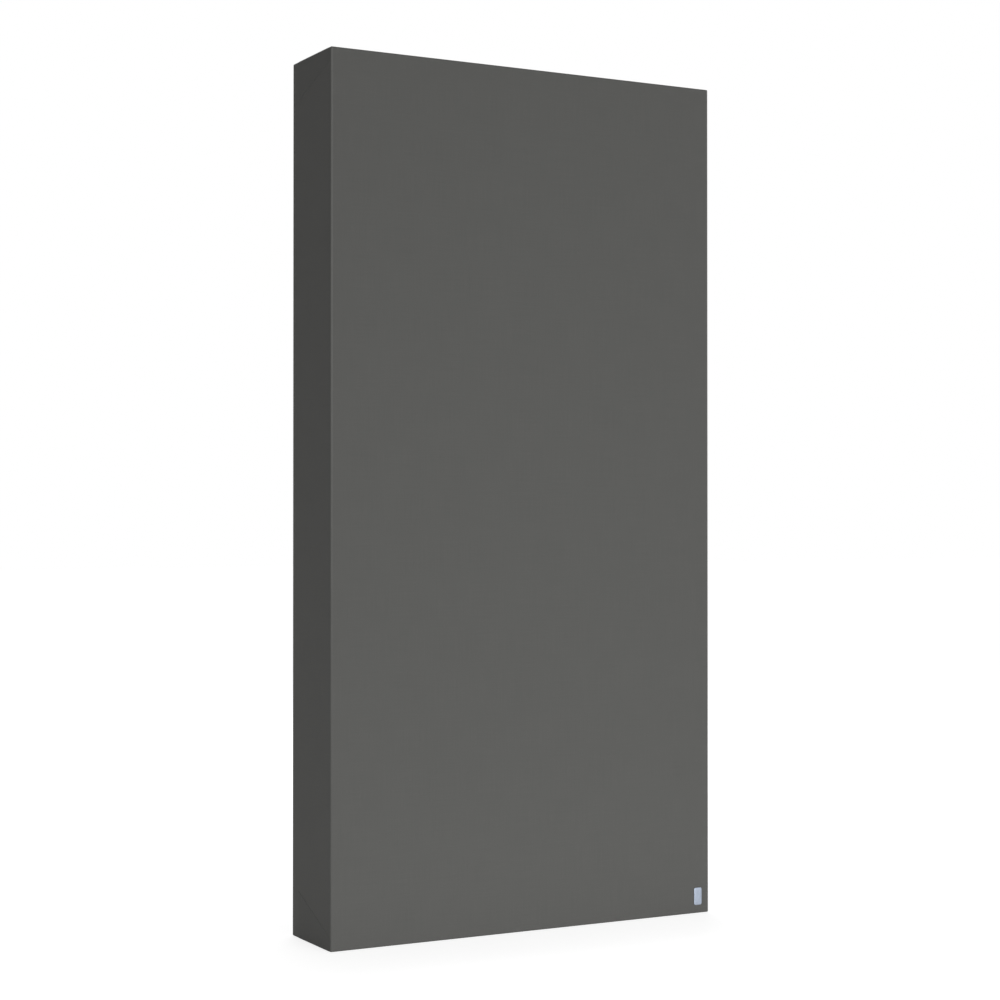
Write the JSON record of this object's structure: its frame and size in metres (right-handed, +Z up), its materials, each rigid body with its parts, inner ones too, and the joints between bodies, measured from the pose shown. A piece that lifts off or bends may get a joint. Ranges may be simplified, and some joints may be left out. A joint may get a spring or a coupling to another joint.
{
  "type": "acoustic panel",
  "caption": "Cloth-wrapped sound absorber: a deep timber frame filled with mineral wool, with folded cloth corners and keyhole hangers on its back.",
  "frame": {"origin": "on the floor, under the middle of the panel's box", "axes": "+Z up along the panel's length, X across its width, the cloth face that is seen looks towards -Y and the hangers towards +Y"},
  "size_m": [0.6016, 0.1316, 1.2],
  "materials": {
    "cover_cloth": "matt plain-weave acoustic cloth, dark grey",
    "frame_timber": "planed softwood, not varnished",
    "mineral_wool": "fibrous slab",
    "back_cloth": "matt non-woven cloth, black",
    "hanger_steel": "zinc-plated pressed steel"
  },
  "bodies": {
    "root": {"cloth_cover": "cover_cloth", "frame_left_stile": "frame_timber", "frame_right_stile": "frame_timber", "frame_bottom_rail": "frame_timber", "frame_top_rail": "frame_timber", "absorber_core": "mineral_wool", "back_cloth": "back_cloth", "hanger_left": "hanger_steel", "hanger_right": "hanger_steel"}
  },
  "joints": []
}
